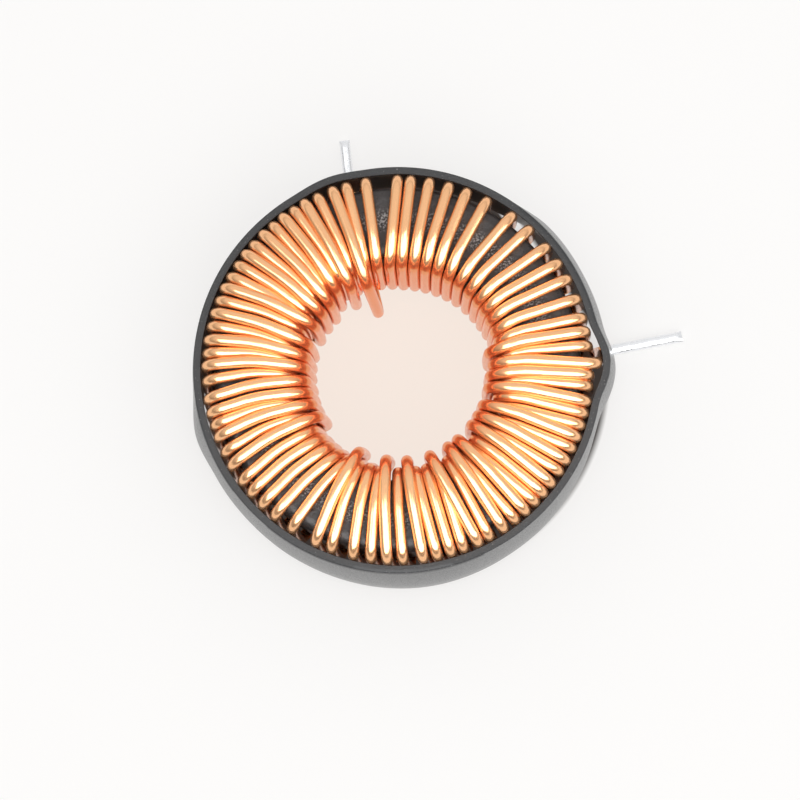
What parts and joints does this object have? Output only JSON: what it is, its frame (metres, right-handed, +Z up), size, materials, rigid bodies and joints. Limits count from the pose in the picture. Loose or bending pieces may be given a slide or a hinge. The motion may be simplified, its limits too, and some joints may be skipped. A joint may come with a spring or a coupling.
{
  "type": "toroidal inductor",
  "caption": "Flat-lying toroidal power inductor: coated powder ring core, thick enamelled copper winding with two tinned leads, black tube sleeve round the outside.",
  "frame": {"origin": "on the coil's axis, at the level of its lowest wires, on which it lies", "axes": "+Z up along the coil's axis, +X along the longer tinned lead"},
  "size_m": [0.0511, 0.0474, 0.0159],
  "materials": {
    "core_coating": "dark grey baked coating, slightly glossy, on a pressed iron powder ring",
    "copper_wire": "clear enamelled copper, glossy; the two ends are stripped and tinned bright",
    "black_tube": "black flexible tube, matt with a fine grain, cut edges"
  },
  "bodies": {
    "root": {"core": "core_coating", "winding": "copper_wire", "sleeve": "black_tube"}
  },
  "joints": []
}
